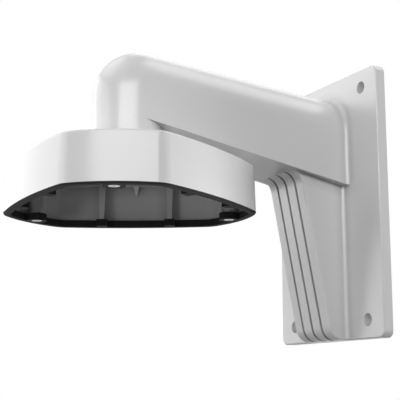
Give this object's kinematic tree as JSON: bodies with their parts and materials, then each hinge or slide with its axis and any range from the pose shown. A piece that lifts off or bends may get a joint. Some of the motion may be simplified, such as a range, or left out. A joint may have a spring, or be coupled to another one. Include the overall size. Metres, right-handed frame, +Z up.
{
  "type": "camera wall bracket",
  "caption": "White die-cast wall bracket for a dome camera: holed wall plate, hollow arm with an elbow, grooved gusset, and a hollow cap with a rubber seal and camera screws.",
  "frame": {"origin": "centre of the four wall holes, on the plate's back face", "axes": "+Y into the wall, so the arm reaches out to -Y, and +Z up"},
  "size_m": [0.1628, 0.2293, 0.182],
  "materials": {
    "white_powder_coat": "satin",
    "black_rubber": "matte",
    "bare_steel": "satin"
  },
  "bodies": {
    "root": {"bracket_casting": "white_powder_coat", "cap_seal": "black_rubber", "camera_screw_left": "bare_steel", "camera_screw_right": "bare_steel", "camera_screw_wall": "bare_steel"}
  },
  "joints": []
}
